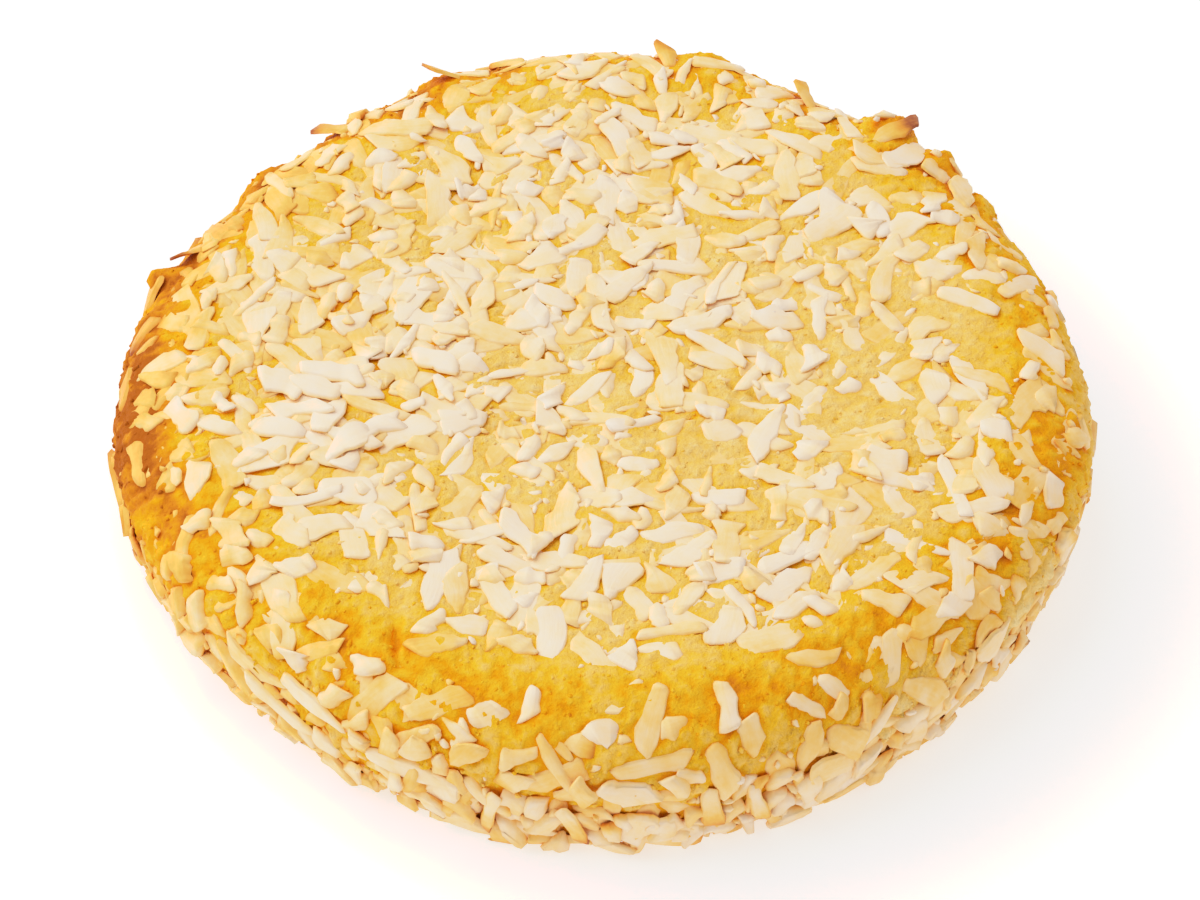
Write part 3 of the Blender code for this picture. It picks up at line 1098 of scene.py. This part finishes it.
def dough_material():
    """Crumbly butter dough: coloured by how far it has baked, plus the shade painted into that same
    level in gaps and dips, and mottled by sandy grains.
    """
    material, tree, shader = new_material("baked_dough")
    coords = tree.nodes.new("ShaderNodeTexCoord").outputs["Object"]
    sand = pattern(tree, coords, scale=1400, detail=5, rough=0.65)
    patches = pattern(tree, coords, scale=420, detail=3, rough=0.6)
    # Partly painted shade: the sandy grain pattern mottles the colour, deeper where the bump dips and
    # paler where it rises.
    level = shifted(tree, sand, -0.5, mesh_value(tree, "bake_and_shade"))
    colour_by(tree, shader, shifted(tree, patches, 0.40, level), DOUGH_COLOURS)
    set_inputs(shader, {"Roughness": 0.7, "Specular IOR Level": 0.1})
    roughen(tree, shader, sand, distance=0.0005, strength=0.8)
    return material


def coconut_material():
    """Dried coconut: cream flesh that goes golden and then brown as it toasts, with a painted warm
    glow at the rims and where flakes lie low, and faint fibres along each flake."""
    material, tree, shader = new_material("dried_coconut")
    fibres = tree.nodes.new("ShaderNodeUVMap")
    fibres.uv_map = "Fibres"
    stretch = tree.nodes.new("ShaderNodeMapping")
    set_inputs(stretch, {"Scale": (0.45, 3.2, 1.0)})
    link(tree, fibres.outputs["UV"], stretch.inputs["Vector"])
    coords = tree.nodes.new("ShaderNodeTexCoord").outputs["Object"]
    streaks = pattern(tree, stretch.outputs["Vector"], scale=1.0, detail=3, rough=0.6)
    patches = pattern(tree, coords, scale=600, detail=3, rough=0.6)
    level = shifted(tree, streaks, 0.16, mesh_value(tree, "toast_and_glow"))
    colour_by(tree, shader, shifted(tree, patches, 0.45, level), COCONUT_COLOURS)
    set_inputs(shader, {"Roughness": 0.5, "Specular IOR Level": 0.35})
    roughen(tree, shader, streaks, distance=0.00006, strength=0.6)
    return material


def floor_material():
    """Matt white that glows a little, so that it looks evenly lit."""
    material, _, shader = new_material("pale_floor")
    set_inputs(shader, {"Base Color": (0.76, 0.76, 0.76, 1), "Emission Color": (1, 1, 1, 1)})
    set_inputs(shader, {"Emission Strength": 0.51, "Roughness": 0.9, "Specular IOR Level": 0.1})
    return material


# ---- stage

FLOOR_HALF, FLOOR_DROP = 1500.0, 0.1  # half its side, and how far it lies under the cookie, in mm

# In metres from here on
ROOM_LIGHT = 0.62
WINDOW_PLACE, WINDOW_SIZE, WINDOW_POWER = (-0.48, 0.22, 0.58), 1.2, 6.6
WINDOW_AIM = (0, 0, 0.007)
# How bright light is shown: softly held back where it would burn out, white from the brightest
BRIGHTEST = 1.22
ROLL_OFF = ((0.2, 0.21), (0.4, 0.43), (0.6, 0.61), (0.8, 0.76), (1.0, 0.86), (1.13, 0.90),
            (1.18, 0.93))

VIEW_HEIGHT = math.radians(48)  # how far above the horizon the camera stands
VIEW_DISTANCE = 0.350
VIEW_LENS = 134.3
COOKIE_MIDDLE = Vector((0, 0, 0.0075))
VIEW_AIM = COOKIE_MIDDLE - Vector((0.0004, 0, 0.0035))  # what the middle of the view shows


def make_stage():
    """A wide pale floor just under the cookie, with its face up."""
    corners = np.array([[-1, -1, 0], [1, -1, 0], [1, 1, 0], [-1, 1, 0]])
    floor = make_piece("floor", corners * FLOOR_HALF - [0, 0, FLOOR_DROP], [np.array([[0, 1, 2, 3]])])
    floor.data.materials.append(floor_material())


def aim(item, target):
    """Turns an object so that its -Z axis points at the target."""
    item.rotation_euler = (Vector(target) - item.location).to_track_quat("-Z", "Y").to_euler()


def light_scene():
    """An even white room with one large soft window, high up at the far left."""
    world = bpy.data.worlds.new("soft_room")
    bpy.context.scene.world = world
    world.use_nodes = True
    background = world.node_tree.nodes["Background"]
    set_inputs(background, {"Color": (1, 1, 1, 1), "Strength": ROOM_LIGHT})
    light = bpy.data.lights.new("window", "AREA")
    light.shape = "DISK"
    light.size = WINDOW_SIZE
    light.energy = WINDOW_POWER
    window = bpy.data.objects.new("window", light)
    window.location = WINDOW_PLACE
    bpy.context.scene.collection.objects.link(window)
    aim(window, WINDOW_AIM)


def hold_back_highlights():
    """Shows the brightest light a little darker, so that cream coconut doesn't burn out."""
    settings = bpy.context.scene.view_settings
    settings.view_transform = "Standard"
    settings.use_curve_mapping = True
    mapping = settings.curve_mapping
    mapping.white_level = [BRIGHTEST] * 3
    curve = mapping.curves[3]
    for bright, shown in ROLL_OFF:
        curve.points.new(bright / BRIGHTEST, shown)
    mapping.update()


def make_camera():
    """A camera with a long lens in front of the cookie, looking down on it."""
    data = bpy.data.cameras.new("camera")
    data.lens = VIEW_LENS
    data.sensor_width = 36.0
    data.clip_start = 0.01
    camera = bpy.data.objects.new("camera", data)
    bpy.context.scene.collection.objects.link(camera)
    back = Vector((0, -math.cos(VIEW_HEIGHT), math.sin(VIEW_HEIGHT)))
    camera.location = COOKIE_MIDDLE + back * VIEW_DISTANCE
    aim(camera, VIEW_AIM)
    bpy.context.scene.camera = camera


def main():
    coats, depth = make_coconut()
    dough = make_dough(depth)
    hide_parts("cookie")
    crumbly = dough_material()
    for piece in (dough, make_grains(depth)):
        piece.data.materials.append(crumbly)
        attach(piece, "root")
    coconut = coconut_material()
    for piece in (*coats, make_pressed()):
        piece.data.materials.append(coconut)
        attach(piece, "root")
    make_stage()
    light_scene()
    hold_back_highlights()
    make_camera()


main()
